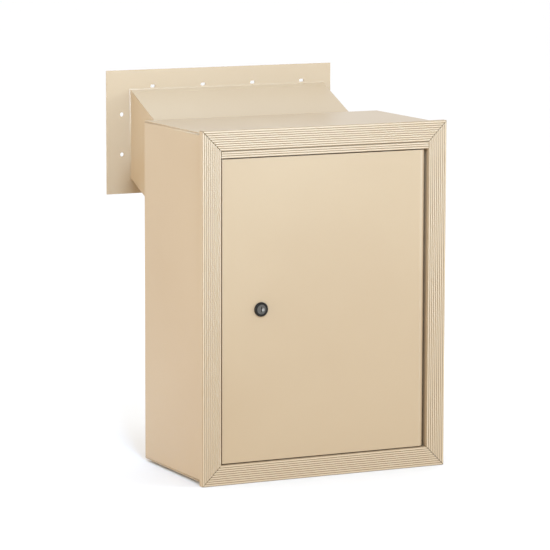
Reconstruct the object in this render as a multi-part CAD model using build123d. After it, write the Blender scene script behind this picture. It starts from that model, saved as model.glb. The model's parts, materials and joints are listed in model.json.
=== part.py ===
from build123d import *
import math
import os

# Through-wall mail drop box: a locking sheet-metal box with a ribbed, mitred front frame, a flat door that
# turns on a rolled edge, and a sloping chute that ends in a wall flange.
#
# Millimetres. X to the right, +Y into the wall, +Z up. The origin is the middle of the flange's upper row of
# slots, on the face that lies against the wall, so the box hangs in front of it, towards -Y.

# ---- overall sizes ----
frame_width = 394.0        # front frame, outside to outside
frame_height = 514.0
box_depth = 216.0          # from the frame's front to the back panel's rear face
wall_gap = 124.0           # from the box's back to the wall
sheet = 1.6                # folded sheet of the box, the door and the chute

# ---- front frame ----
rail_face = 30.0           # width of a rail seen from the front
rail_wall = 2.2
rail_leg = 2.0
rail_edge_radius = 1.0
rib_edge = 1.1             # plain strip beside the outermost ribs
rib_pitch = 3.2
rib_height = 0.9
rib_top = 1.3
rib_root = 2.2
outer_leg_depth = 10.5     # side of the frame that shows
stop_lip = 6.0             # what the door closes against
hinge_lip = 8.0            # hinge side, behind the rolled edge
frame_overhang = 4.0       # how far the frame stands out past the box
clip_clearance = 0.3
clip_leg_depth = 16.0
mitre_gap = 0.5
key_arm = 66.0             # corner keys, measured from the frame's outer corner

# ---- header strip under the top rail ----
header_height = 10.0
header_rib_edge = 0.7
header_wall = 2.0
header_gap = 0.5

# ---- door and its hinge ----
door_gap = 1.5
door_recess = 1.5
door_depth = 17.0
door_roll_radius = 13.0
stop_gap = 1.5             # between the door's back and the stop lip
roll_sweep_gap = 1.0       # behind the rolled edge as it turns
pin_radius = 3.0
pin_engagement = 5.0
running_clearance = 0.05
bush_radius = 4.5
bush_length = 4.8
bush_flange_radius = 6.0
bush_flange = 1.0
pin_head_radius = 4.5
pin_head = 1.6
stiffener_width = 34.0
stiffener_depth = 11.0
stiffener_foot = 10.0
stiffener_sheet = 1.2
stiffener_from_hinge = 120.0
stiffener_end_gap = 22.0
bumper_clearance = 0.3
bumper_side = 0.6          # from the pad to the lip's edges
bumper_length = 14.0
bumper_count = 3
bumper_share = 0.4         # their pitch, as a share of the door's height

# ---- cam lock ----
lock_from_edge = 61.5      # lock's axis to the door's latch edge
lock_height = 221.5        # lock's axis above the door's lower edge
lock_face_radius = 10.5
lock_face = 3.0
lock_face_bevel = 0.8
lock_barrel_radius = 9.4
lock_barrel_flats = 16.4
lock_hole_clearance = 0.2
plug_radius = 6.45
plug_recess = 0.6
keyway_width = 1.3
keyway_height = 7.6
keyway_depth = 15.0
nut_flats = 24.0
nut_thickness = 4.0
cam_width = 14.0
cam_thickness = 2.0
cam_reach = 62.0
cam_corner = 4.2
cam_eye_margin = 1.0       # how far the eye stands out past the arm's width
cam_clearance = 0.4        # behind the stop lip
tail_square = 7.0
cam_screw_radius = 2.0
cam_screw_length = 9.0
cam_screw_head_radius = 4.0
cam_screw_head = 2.4
cam_washer_radius = 6.0
cam_washer = 0.8

# ---- box ----
flange_width = 12.0        # folded edges of the side panels
bend_outer = 2.2
bend_inner = 0.6
seam_inset = 0.8
fold_gap = 1.0             # folds start this far behind the frame's clip legs
panel_front = 4.0          # the panels' front edges, behind the frame's face

# ---- chute and wall flange ----
chute_width = 324.0
chute_height = 134.0       # at the wall, measured upright
chute_slope_deg = 23.3
frame_top_below_chute = 30.5
collar_depth = 9.0
collar_bend = 2.5
plate_thickness = 2.5
plate_width = 376.0
plate_height = 187.0
plate_left_margin = 39.0   # plate's left edge to the chute
plate_top_margin = 25.5    # plate's top edge to the slots
slot_above_bend = 4.2
slot_count = 4
slot_pitch = 83.4
slot_length = 8.0
slot_width = 4.5
side_hole_radius = 3.2
side_hole_inset = 25.0
side_hole_pitch = 60.6
side_hole_middle_drop = 71.5
tab_width = 12.0
tab_end_gap = 4.0

# ---- rivets and screws ----
rivet_radius = 2.0
rivet_head_radius = 3.4
rivet_head = 1.1
rivet_tail_radius = 2.7
rivet_tail = 1.3
rivet_fit = 0.05
drill_depth = 15.0
frame_rivets_per_rail = 3
frame_rivet_share = 0.32   # their pitch, as a share of the rail's length
frame_rivet_behind_front = 7.4
tab_rivets_long = 4
tab_rivets_short = 2
tab_rivet_share_long = 0.29
tab_rivet_share_short = 0.5
tab_rivet_from_bend = 0.55 # as a share of the tab's width
header_screw_count = 3
header_screw_share = 0.8   # their pitch, as a share of half the opening
header_screw_head = 1.8

# ---- places that follow from the sizes above ----
jamb_depth = door_recess + door_depth + stop_gap + rail_leg
hinge_jamb_depth = door_recess + 2 * door_roll_radius + roll_sweep_gap + rail_leg
rib_count = int((rail_face - 2 * rib_edge - rib_root) / rib_pitch + 0.001) + 1
header_rib_count = int((header_height - 2 * header_rib_edge - rib_root) / rib_pitch + 0.001) + 1
front_y = -(wall_gap + box_depth)
back_y = -wall_gap
slope = math.tan(math.radians(chute_slope_deg))
chute_top_z = -slot_above_bend
chute_bottom_z = chute_top_z - chute_height
frame_top_z = chute_top_z - frame_top_below_chute
frame_bottom_z = frame_top_z - frame_height
box_top_z = frame_top_z - frame_overhang
box_bottom_z = frame_bottom_z + frame_overhang
box_half = frame_width / 2 - frame_overhang
clip_leg_u = frame_overhang + sheet + clip_clearance
jamb_front_v = rib_height + rail_wall
opening_half = frame_width / 2 - rail_face
header_top_z = frame_top_z - rail_face - header_gap
header_bottom_z = header_top_z - header_height
door_left_x = -opening_half + door_gap
door_right_x = opening_half - door_gap
door_bottom_z = frame_bottom_z + rail_face + door_gap
door_top_z = header_bottom_z - door_gap
door_front_y = front_y + door_recess
door_back_y = door_front_y + door_depth
hinge_x = door_right_x - door_roll_radius
hinge_y = door_front_y + door_roll_radius
lock_x = door_left_x + lock_from_edge
lock_z = door_bottom_z + lock_height
pin_bore = pin_radius + running_clearance
rivet_bore = rivet_radius + rivet_fit
cam_front_y = front_y + jamb_depth + cam_clearance
barrel_end_y = cam_front_y - cam_clearance / 2
slope_step = sheet / math.cos(math.radians(chute_slope_deg))


def block(x0, x1, y0, y1, z0, z1):
    """A box between two corners."""
    return Pos((x0 + x1) / 2, (y0 + y1) / 2, (z0 + z1) / 2) * Box(x1 - x0, y1 - y0, z1 - z0)


def rod(radius, length, at, axis):
    """A cylinder that starts at a point and runs along an axis."""
    return Plane(origin=at, z_dir=axis) * Pos(0, 0, length / 2) * Cylinder(radius, length)


def spread(count, pitch):
    """Evenly pitched places about zero."""
    return [(i - (count - 1) / 2) * pitch for i in range(count)]


def strip(u0, u1, v0, v1):
    """A rectangle of a rail's section: u inward from the outer edge, v back from the front."""
    return Pos((v0 + v1) / 2, -(u0 + u1) / 2) * Rectangle(v1 - v0, u1 - u0)


def ribs(count, middle_u):
    """The raised ribs of a face, as trapezoids that stand on its front."""
    section = Sketch()
    for u in spread(count, rib_pitch):
        at = -(middle_u + u)
        corners = [(rib_height, at - rib_root / 2), (0, at - rib_top / 2)]
        corners += [(0, at + rib_top / 2), (rib_height, at + rib_root / 2)]
        section += make_face(Polyline(*corners, close=True))
    return section


def rail_section(jamb, lip):
    """A frame rail: ribbed face, outer leg, clip leg for the box's panel, jamb leg and stop lip."""
    section = strip(0, rail_face, rib_height, jamb_front_v)
    section += strip(0, rail_leg, rib_height, outer_leg_depth)
    section += strip(clip_leg_u, clip_leg_u + rail_leg, rib_height, clip_leg_depth)
    section += strip(rail_face - rail_leg, rail_face, rib_height, jamb)
    if lip > 0:
        section += strip(rail_face - rail_leg, rail_face + lip, jamb - rail_leg, jamb)
    return section + ribs(rib_count, rail_face / 2)


def along_x(section, length):
    """Extrudes a section along X, half each way, with its outer edge on z = 0 and its front on y = 0."""
    return extrude(Plane(origin=(0, 0, 0), x_dir=(0, 1, 0), z_dir=(1, 0, 0)) * section, length / 2, both=True)


def mitred_rail(length, jamb, lip):
    """One rail, cut at 45 degrees at both ends, lying like the top rail."""
    body = along_x(rail_section(jamb, lip), length)
    body = fillet(body.edges().sort_by_distance(Vector(0, rib_height, 0))[0], rail_edge_radius)
    half = length / 2 - mitre_gap / 2 * math.sqrt(2)
    reach = rail_face + hinge_lip + 2
    outline = Polyline((-half, 0), (half, 0), (half - reach, -reach), (-half + reach, -reach), close=True)
    return body & extrude(Plane.XZ * make_face(outline), 2 * hinge_jamb_depth, both=True)


def frame_rails():
    """The four rails. The lower stop lip leaves room for the rolled edge to turn."""
    rails = {
        "top_rail": Pos(0, front_y, frame_top_z) * mitred_rail(frame_width, jamb_depth, 0),
        "bottom_rail": Pos(0, front_y, frame_bottom_z) * Rot(0, 180, 0)
        * mitred_rail(frame_width, jamb_depth, stop_lip),
    }
    middle_z = (frame_top_z + frame_bottom_z) / 2
    left = Pos(-frame_width / 2, front_y, middle_z) * Rot(0, -90, 0)
    right = Pos(frame_width / 2, front_y, middle_z) * Rot(0, 90, 0)
    rails["left_rail"] = left * mitred_rail(frame_height, jamb_depth, stop_lip)
    rails["right_rail"] = right * mitred_rail(frame_height, hinge_jamb_depth, hinge_lip)
    jamb_z = frame_bottom_z + rail_face
    roll_end_x = hinge_x - door_roll_radius - 2 * door_gap
    notch = block(roll_end_x, opening_half + hinge_lip + rail_leg, front_y + jamb_front_v,
                  front_y + hinge_jamb_depth, jamb_z, jamb_z + hinge_lip + rail_leg)
    rails["bottom_rail"] -= notch
    rails["bottom_rail"] -= rod(pin_bore, 2 * rail_face, (hinge_x, hinge_y, jamb_z), (0, 0, -1))
    above = header_top_z + header_gap
    rails["left_rail"] -= block(-opening_half, -opening_half + hinge_lip, front_y, front_y + hinge_jamb_depth,
                                header_bottom_z - door_gap, above)
    rails["right_rail"] -= block(opening_half - hinge_lip, opening_half, front_y, front_y + hinge_jamb_depth,
                                 header_bottom_z - door_gap, above)
    return rails


def corner_keys():
    """L-shaped keys that hold the mitres together, in the channel behind the rails' faces."""
    near = clip_leg_u + rail_leg + clip_clearance
    far = rail_face - rail_leg - clip_clearance
    corners = [(near, near), (key_arm, near), (key_arm, far), (far, far), (far, key_arm), (near, key_arm)]
    outline = Polyline(*corners, close=True)
    front = front_y + jamb_front_v + clip_clearance
    key = Pos(0, front, 0) * extrude(Plane.XZ * make_face(outline), -2 * rail_leg)
    keys = []
    for side in (-1, 1):
        for level, base in ((1, frame_bottom_z), (-1, frame_top_z)):
            turned = key if side < 0 else mirror(key, Plane.YZ)
            turned = turned if level > 0 else mirror(turned, Plane.XY)
            keys.append(Pos(side * frame_width / 2, 0, base) * turned)
    return Compound(children=keys)


def header_strip():
    """The ribbed channel across the top of the opening. Its lower wall holds the upper pivot pin."""
    height = header_height
    section = strip(0, height, rib_height, rib_height + header_wall)
    section += strip(0, header_wall, rib_height, jamb_depth)
    section += strip(height - header_wall, height, rib_height, jamb_depth)
    section += ribs(header_rib_count, height / 2)
    body = Pos(0, front_y, header_top_z) * along_x(section, 2 * (opening_half - clip_clearance))
    body -= rod(pin_bore, header_height, (hinge_x, hinge_y, header_bottom_z - 1), (0, 0, 1))
    for x in header_screw_places():
        body -= rod(rivet_bore, 2 * header_wall, (x, header_screw_y(), header_top_z + 1), (0, 0, -1))
    return body


def header_screw_places():
    """Where the header's screws stand along the opening."""
    return spread(header_screw_count, opening_half * header_screw_share)


def header_screw_y():
    """How far back the header's screws stand."""
    return front_y + jamb_depth / 2


def pan_screw(head_radius, head, radius, length, at, axis):
    """A pan-head screw whose head stands on a face at a point; the shank runs along the axis."""
    shank = rod(radius, length, at, axis)
    back = tuple(-a for a in axis)
    cap = rod(head_radius, head, at, back)
    cap = fillet(cap.edges().sort_by(Axis(at, back))[-1], head * 0.45)
    cross = Box(head_radius, head_radius / 4, head) + Box(head_radius / 4, head_radius, head)
    return cap + shank - Plane(origin=at, z_dir=back) * Pos(0, 0, head * 1.05) * cross


def header_screws():
    """Screws that hold the header strip to the top rail's jamb."""
    z = header_top_z - header_wall
    length = header_wall + header_gap + rail_leg + 1
    at = [(x, header_screw_y(), z) for x in header_screw_places()]
    up = (0, 0, 1)
    return Compound(children=[
        pan_screw(rivet_head_radius, header_screw_head, rivet_radius, length, place, up) for place in at])


def drill_header_screws(top_rail):
    """Cuts the header screws' holes through the top rail's jamb."""
    for x in header_screw_places():
        top_rail -= rod(rivet_bore, rail_face / 2, (x, header_screw_y(), header_top_z), (0, 0, 1))
    return top_rail


def rivet(at, axis, grip):
    """A blind rivet: its domed head stands on the face at a point, and its tail is past the grip."""
    back = tuple(-a for a in axis)
    head = rod(rivet_head_radius, rivet_head, at, back)
    head = fillet(head.edges().sort_by(Axis(at, back))[-1], rivet_head * 0.8)
    shank = rod(rivet_radius, grip, at, axis)
    tail_at = tuple(p + a * grip for p, a in zip(at, axis))
    tail = rod(rivet_tail_radius, rivet_tail, tail_at, axis)
    return head + shank + tail


def frame_rivet_places():
    """Head point and axis of each rivet that holds a box panel to its rail, from inside the box."""
    y = front_y + frame_rivet_behind_front
    inner = clip_leg_u + rail_leg
    middle_z = (frame_top_z + frame_bottom_z) / 2
    places = []
    for z in spread(frame_rivets_per_rail, frame_height * frame_rivet_share):
        places.append(((-frame_width / 2 + inner, y, middle_z + z), (-1, 0, 0)))
        places.append(((frame_width / 2 - inner, y, middle_z + z), (1, 0, 0)))
    for x in spread(frame_rivets_per_rail, frame_width * frame_rivet_share):
        places.append(((x, y, frame_bottom_z + inner), (0, 0, -1)))
        places.append(((x, y, frame_top_z - inner), (0, 0, 1)))
    return places


def frame_rivets():
    """The rivets that hold the box in the frame."""
    grip = rail_leg + clip_clearance + sheet
    return Compound(children=[rivet(at, axis, grip) for at, axis in frame_rivet_places()])


def drill(solid, places):
    """Cuts the rivets' holes through a piece."""
    for at, axis in places:
        start = tuple(p - a * rail_leg for p, a in zip(at, axis))
        solid -= rod(rivet_bore, drill_depth, start, axis)
    return solid


def side_panel():
    """The left side: a sheet with its top, bottom and rear edges folded inwards."""
    low, high = box_bottom_z + sheet, box_top_z - sheet
    front, rear = front_y + panel_front, back_y - sheet
    x0, x1 = -box_half, -box_half + flange_width
    outer = block(x0, x1, front, rear, low, high)
    folds = [e for e in outer.faces().sort_by(Axis.X)[0].edges() if e.center().Y > front + 1]
    outer = fillet(folds, bend_outer)
    inner = block(x0 + sheet, x1 + 1, front - 1, rear - sheet, low + sheet, high - sheet)
    folds = [e for e in inner.faces().sort_by(Axis.X)[0].edges() if e.center().Y > front]
    panel = outer - fillet(folds, bend_inner)
    panel -= block(x0 + sheet, x1 + 1, front - 1, front_y + clip_leg_depth + fold_gap, low - 1, high + 1)
    relief = 2 * sheet
    for z in (low, high - relief):
        panel -= block(x0 + relief, x1, rear - relief, rear, z, z + relief)
    return panel


def box_panels():
    """The box's five panels: two folded sides, with flat top, bottom and back sheets laid on their folds."""
    front, rear = front_y + panel_front, back_y - sheet
    half = box_half - seam_inset
    left = side_panel()
    panels = {
        "left_side_panel": left,
        "right_side_panel": mirror(left, Plane.YZ),
        "top_panel": block(-half, half, front, rear, box_top_z - sheet, box_top_z),
        "bottom_panel": block(-half, half, front, rear, box_bottom_z, box_bottom_z + sheet),
    }
    back = block(-half, half, rear, back_y, box_bottom_z + seam_inset, box_top_z - seam_inset)
    mouth_top = chute_level(back_y, chute_top_z) - slope_step
    mouth_bottom = chute_level(back_y, chute_bottom_z)
    mouth = block(-chute_width / 2 + sheet, chute_width / 2 - sheet, rear - 1, back_y + 1,
                  mouth_bottom + slope_step, mouth_top)
    panels["back_panel"] = back - mouth
    return panels


def chute_level(y, z_at_wall):
    """Height of a line of the chute at a distance from the wall."""
    return z_at_wall + (y + plate_thickness) * slope


def sloped(x0, x1, z0, z1, y0, y1):
    """A bar with an upright section, slid down the slope from y0 to y1. Heights are those at the wall."""
    rise = chute_level(y0, 0)
    face = Plane(origin=(0, y0, 0), x_dir=(1, 0, 0), z_dir=(0, -1, 0)) * (
        Pos((x0 + x1) / 2, (z0 + z1) / 2 + rise) * Rectangle(x1 - x0, z1 - z0))
    run = (y0 - y1) / math.cos(math.radians(chute_slope_deg))
    return extrude(face, run, dir=(0, -math.cos(math.radians(chute_slope_deg)),
                                   -math.sin(math.radians(chute_slope_deg))))


def wall_flange():
    """The plate against the wall, with its opening's edge turned out as a short sloping collar."""
    x0 = -chute_width / 2 - plate_left_margin
    plate_bottom_z = plate_top_margin - plate_height
    plate = block(x0, x0 + plate_width, -plate_thickness, 0, plate_bottom_z, plate_top_margin)
    half = chute_width / 2
    end = -plate_thickness - collar_depth
    collar = sloped(-half, half, chute_bottom_z, chute_top_z, -plate_thickness / 2, end)
    body = plate + collar
    corner = [e for e in body.edges() if abs(e.center().Y + plate_thickness) < 0.01
              and abs(e.center().X) < half + 0.1 and chute_bottom_z - 0.1 < e.center().Z < chute_top_z + 0.1]
    body = fillet(corner, collar_bend)
    inside = (chute_bottom_z + slope_step, chute_top_z - slope_step)
    body -= sloped(-half + sheet, half - sheet, *inside, 1, end - 1)
    slot = extrude(Plane.XZ * SlotOverall(slot_length, slot_width), 2 * plate_thickness, both=True)
    for x in spread(slot_count, slot_pitch):
        body -= Pos(x, 0, 0) * slot
    for z in spread(2, side_hole_pitch):
        at = (x0 + side_hole_inset, 1, z - side_hole_middle_drop)
        body -= rod(side_hole_radius, 2 * plate_thickness, at, (0, -1, 0))
    return body


def chute_panels():
    """The chute's four walls, from the collar to the box, each with a tab that lies on the back panel."""
    half = chute_width / 2
    y0, y1 = -plate_thickness - collar_depth, back_y
    top, bottom = chute_top_z, chute_bottom_z
    side = (bottom + slope_step, top - slope_step)
    walls = {
        "chute_top_panel": sloped(-half, half, top - slope_step, top, y0, y1),
        "chute_bottom_panel": sloped(-half, half, bottom, bottom + slope_step, y0, y1),
        "chute_left_panel": sloped(-half, -half + sheet, side[0], side[1], y0, y1),
        "chute_right_panel": sloped(half - sheet, half, side[0], side[1], y0, y1),
    }
    top_z, bottom_z = chute_level(back_y, top), chute_level(back_y, bottom)
    tab_y = (back_y, back_y + sheet)
    tab_low_z = top_z - slope_step + sheet * slope
    walls["chute_top_panel"] += block(-half, half, *tab_y, tab_low_z, top_z + tab_width)
    walls["chute_bottom_panel"] += block(-half, half, *tab_y, bottom_z - tab_width, bottom_z + slope_step)
    low, high = bottom_z + tab_end_gap + slope_step, top_z - tab_end_gap - slope_step
    walls["chute_left_panel"] += block(-half - tab_width, -half + sheet, *tab_y, low, high)
    walls["chute_right_panel"] += block(half - sheet, half + tab_width, *tab_y, low, high)
    return walls


def tab_rivet_places():
    """Head point and axis of each rivet through a chute tab and the back panel."""
    y = back_y + sheet
    top_z, bottom_z = chute_level(back_y, chute_top_z), chute_level(back_y, chute_bottom_z)
    places = []
    off = tab_width * tab_rivet_from_bend
    for x in spread(tab_rivets_long, chute_width * tab_rivet_share_long):
        places.append(((x, y, top_z + off), (0, -1, 0)))
        places.append(((x, y, bottom_z - off), (0, -1, 0)))
    for z in spread(tab_rivets_short, chute_height * tab_rivet_share_short):
        for side in (-1, 1):
            x = side * (chute_width / 2 + off)
            places.append(((x, y, (top_z + bottom_z) / 2 + z), (0, -1, 0)))
    return places


def rolled_front(inset):
    """The door's front seen from above, from the latch edge to the end of the rolled hinge edge."""
    radius = door_roll_radius - inset
    middle = radius * math.sqrt(0.5)
    front = door_front_y + inset
    return [
        Line((door_left_x + inset, front), (hinge_x, front)),
        ThreePointArc((hinge_x, front), (hinge_x + middle, hinge_y - middle), (hinge_x + radius, hinge_y)),
    ]


def closed_outline(lines, corners):
    """A face whose outline runs on from the last line, through the corners, back to the first."""
    path = [lines[-1] @ 1, *corners, lines[0] @ 0]
    return make_face(Curve() + lines + [Line(a, b) for a, b in zip(path, path[1:])])


def door_panel():
    """The door: one folded tray with a rolled hinge edge, holes for the lock and for the hinge bushes."""
    shoulder_x = hinge_x + door_roll_radius / 2
    outside = closed_outline(rolled_front(0), [
        (shoulder_x, hinge_y), (shoulder_x, door_back_y), (door_left_x, door_back_y)])
    roll_inside_x = hinge_x + door_roll_radius - sheet
    inside = closed_outline(rolled_front(sheet), [
        (roll_inside_x, door_back_y + 1), (door_left_x + sheet, door_back_y + 1)])
    body = Pos(0, 0, door_bottom_z) * extrude(outside, door_top_z - door_bottom_z)
    hollow = extrude(inside, door_top_z - door_bottom_z - 2 * sheet)
    body -= Pos(0, 0, door_bottom_z + sheet) * hollow
    body -= rod(bush_radius + rivet_fit, frame_height, (hinge_x, hinge_y, frame_bottom_z), (0, 0, 1))
    y0, y1 = door_front_y - sheet, door_front_y + 2 * sheet
    barrel = rod(lock_barrel_radius + lock_hole_clearance, y1 - y0, (lock_x, y0, lock_z), (0, 1, 0))
    flats = lock_barrel_flats / 2 + lock_hole_clearance
    body -= barrel & block(lock_x - flats, lock_x + flats, y0, y1, lock_z - nut_flats, lock_z + nut_flats)
    return body


def door_stiffener():
    """A hat-shaped channel down the inside of the door."""
    x = hinge_x - stiffener_from_hinge
    front = door_front_y + sheet
    back = front + stiffener_depth
    half, t = stiffener_width / 2, stiffener_sheet
    outline = [(x - half - stiffener_foot, front), (x - half + t, front), (x - half + t, back - t)]
    outline += [(x + half - t, back - t), (x + half - t, front), (x + half + stiffener_foot, front)]
    outline += [(x + half + stiffener_foot, front + t), (x + half, front + t), (x + half, back)]
    outline += [(x - half, back), (x - half, front + t), (x - half - stiffener_foot, front + t)]
    low, high = door_bottom_z + stiffener_end_gap, door_top_z - stiffener_end_gap
    return Pos(0, 0, low) * extrude(make_face(Polyline(*outline, close=True)), high - low)


def pivot_pins():
    """Headed pins on the hinge axis: the upper hangs in the header strip, the lower stands in the rail."""
    upper_z = header_bottom_z + header_wall
    lower_z = frame_bottom_z + rail_face - rail_leg
    reach = door_gap + sheet + pin_engagement
    upper = rod(pin_radius, header_wall + reach, (hinge_x, hinge_y, upper_z), (0, 0, -1))
    upper += rod(pin_head_radius, pin_head, (hinge_x, hinge_y, upper_z), (0, 0, 1))
    lower = rod(pin_radius, rail_leg + reach, (hinge_x, hinge_y, lower_z), (0, 0, 1))
    lower += rod(pin_head_radius, pin_head, (hinge_x, hinge_y, lower_z), (0, 0, -1))
    return {"upper_pivot_pin": upper, "lower_pivot_pin": lower}


def hinge_bushes():
    """Flanged bushes in the door's ends; their flanges keep the door off the jambs."""
    bushes = []
    for z, up in ((door_bottom_z, 1), (door_top_z, -1)):
        body = rod(bush_radius, bush_length, (hinge_x, hinge_y, z), (0, 0, up))
        body += rod(bush_flange_radius, bush_flange, (hinge_x, hinge_y, z), (0, 0, -up))
        bushes.append(body - rod(pin_bore, 4 * bush_length, (hinge_x, hinge_y, z - 2 * bush_length), (0, 0, 1)))
    return Compound(children=bushes)


def door_bumpers():
    """Soft pads on the stop lip that the door closes on."""
    x0 = -opening_half + bumper_side
    x1 = -opening_half + stop_lip - bumper_side
    y1 = front_y + jamb_depth - rail_leg
    y0 = y1 - stop_gap + bumper_clearance
    middle = (door_bottom_z + door_top_z) / 2
    pitch = (door_top_z - door_bottom_z) * bumper_share
    half = bumper_length / 2
    levels = [middle + z for z in spread(bumper_count, pitch)]
    return Compound(children=[block(x0, x1, y0, y1, z - half, z + half) for z in levels])


def lock_housing():
    """The lock's body: a bevelled face and a barrel with two flats, bored for the plug."""
    face = rod(lock_face_radius, lock_face, (lock_x, door_front_y, lock_z), (0, -1, 0))
    face = chamfer(face.edges().sort_by(Axis.Y)[0], lock_face_bevel)
    barrel = rod(lock_barrel_radius, barrel_end_y - door_front_y, (lock_x, door_front_y, lock_z), (0, 1, 0))
    half = lock_barrel_flats / 2
    flats = block(lock_x - half, lock_x + half, door_front_y, barrel_end_y, lock_z - nut_flats, lock_z + nut_flats)
    barrel &= flats
    bore_start = (lock_x, door_front_y - 2 * lock_face, lock_z)
    bore = rod(plug_radius + running_clearance, 2 * jamb_depth, bore_start, (0, 1, 0))
    return face + barrel - bore


def lock_nut():
    """The hexagonal nut behind the door's sheet."""
    y = door_front_y + sheet
    hexagon = RegularPolygon(nut_flats / 2, 6, major_radius=False)
    body = extrude(Plane(origin=(lock_x, y, lock_z), z_dir=(0, 1, 0)) * hexagon, nut_thickness)
    return body - rod(lock_barrel_radius + rivet_fit, 2 * nut_thickness, (lock_x, y - 1, lock_z), (0, 1, 0))


def lock_plug():
    """The turning plug, with its keyway in front and a square tail for the cam."""
    front = door_front_y - lock_face + plug_recess
    body = rod(plug_radius, barrel_end_y - front, (lock_x, front, lock_z), (0, 1, 0))
    half = tail_square / 2
    tail_end = cam_front_y + cam_thickness
    body += block(lock_x - half, lock_x + half, barrel_end_y, tail_end, lock_z - half, lock_z + half)
    body -= block(lock_x - keyway_width / 2, lock_x + keyway_width / 2, front - 1, front + keyway_depth,
                  lock_z - keyway_height / 2, lock_z + keyway_height / 2)
    screw_hole = rod(cam_screw_radius + rivet_fit, cam_screw_length, (lock_x, tail_end + 1, lock_z), (0, -1, 0))
    return body - screw_hole


def lock_cam():
    """The cam: hangs down when unlocked, and turns a quarter to lie behind the stop lip."""
    shape = Pos(0, -cam_reach / 2) * Rectangle(cam_width, cam_reach)
    shape = fillet(shape.vertices().sort_by(Axis.Y)[:2], cam_corner)
    shape += Circle(cam_width / 2 + cam_eye_margin)
    hole = tail_square + 2 * rivet_fit
    shape -= Rectangle(hole, hole)
    plane = Plane(origin=(lock_x, cam_front_y, lock_z), x_dir=(-1, 0, 0), z_dir=(0, 1, 0))
    return extrude(plane * shape, cam_thickness)


def cam_fasteners():
    """The washer and screw that hold the cam on the plug."""
    y = cam_front_y + cam_thickness
    ring = rod(cam_washer_radius, cam_washer, (lock_x, y, lock_z), (0, 1, 0))
    ring -= rod(cam_screw_radius + 2 * rivet_fit, 4, (lock_x, y - 1, lock_z), (0, 1, 0))
    screw = pan_screw(cam_screw_head_radius, cam_screw_head, cam_screw_radius, cam_screw_length - 2,
                      (lock_x, y + cam_washer, lock_z), (0, -1, 0))
    return {"cam_washer": ring, "cam_screw": screw}


def drill_clip(rail, places):
    """Cuts the rivets' holes through a rail's clip leg only."""
    for at, axis in places:
        start = tuple(p - a * clip_clearance for p, a in zip(at, axis))
        rail -= rod(rivet_bore, rail_leg + 2 * clip_clearance, start, axis)
    return rail


def build():
    """Every sub-part by its node name."""
    parts = {}
    parts.update(frame_rails())
    parts.update(box_panels())
    parts.update(chute_panels())
    parts.update(pivot_pins())
    parts.update(cam_fasteners())
    parts["top_rail"] = drill_header_screws(parts["top_rail"])
    for name in ("top", "bottom", "left", "right"):
        rail = name + "_rail"
        panel = name + "_side_panel" if name in ("left", "right") else name + "_panel"
        axis = {"top": (0, 0, 1), "bottom": (0, 0, -1), "left": (-1, 0, 0), "right": (1, 0, 0)}[name]
        places = [p for p in frame_rivet_places() if p[1] == axis]
        parts[rail] = drill_clip(parts[rail], places)
        parts[panel] = drill(parts[panel], places)
    for name in ("chute_top_panel", "chute_bottom_panel", "chute_left_panel", "chute_right_panel"):
        parts[name] = drill(parts[name], tab_rivet_places())
    parts["back_panel"] = drill(parts["back_panel"], tab_rivet_places())
    parts["corner_keys"] = corner_keys()
    parts["header_strip"] = header_strip()
    parts["header_screws"] = header_screws()
    parts["frame_rivets"] = frame_rivets()
    parts["chute_rivets"] = Compound(children=[rivet(at, axis, 2 * sheet) for at, axis in tab_rivet_places()])
    parts["wall_flange"] = wall_flange()
    parts["door_panel"] = door_panel()
    parts["door_stiffener"] = door_stiffener()
    parts["hinge_bushes"] = hinge_bushes()
    parts["door_bumpers"] = door_bumpers()
    parts["lock_housing"] = lock_housing()
    parts["lock_nut"] = lock_nut()
    parts["lock_plug"] = lock_plug()
    parts["lock_cam"] = lock_cam()
    return parts


os.makedirs("parts", exist_ok=True)
for node, shape in build().items():
    export_step(shape, "parts/" + node + ".step")
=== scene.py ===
import json
import math

import bmesh
import bpy
from mathutils import Matrix, Vector


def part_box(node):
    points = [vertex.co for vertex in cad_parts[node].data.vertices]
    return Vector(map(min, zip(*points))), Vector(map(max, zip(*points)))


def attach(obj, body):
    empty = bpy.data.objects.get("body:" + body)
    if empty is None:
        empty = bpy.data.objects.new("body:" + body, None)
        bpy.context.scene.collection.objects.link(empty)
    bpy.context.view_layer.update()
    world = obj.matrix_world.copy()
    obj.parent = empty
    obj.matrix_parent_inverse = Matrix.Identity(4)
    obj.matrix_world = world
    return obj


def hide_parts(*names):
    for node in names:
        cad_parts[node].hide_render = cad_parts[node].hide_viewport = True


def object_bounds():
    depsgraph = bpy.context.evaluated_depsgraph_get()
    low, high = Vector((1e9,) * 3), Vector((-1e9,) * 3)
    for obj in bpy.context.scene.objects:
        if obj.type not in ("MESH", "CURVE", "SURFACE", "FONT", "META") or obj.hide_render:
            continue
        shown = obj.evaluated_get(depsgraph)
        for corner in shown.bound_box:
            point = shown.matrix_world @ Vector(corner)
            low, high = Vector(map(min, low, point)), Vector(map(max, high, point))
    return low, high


bl_info = {
    "name": "Through-wall mailbox",
    "version": (1, 0, 0),
    "blender": (4, 5, 0),
    "location": "3D View > Sidebar > Mailbox",
    "description": "Finishes the pieces of a powder-coated mailbox with a ribbed frame, a door and a chute",
    "category": "Object",
}

MM = 0.001
WELD = 0.001 * MM          # points closer than this are one

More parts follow.
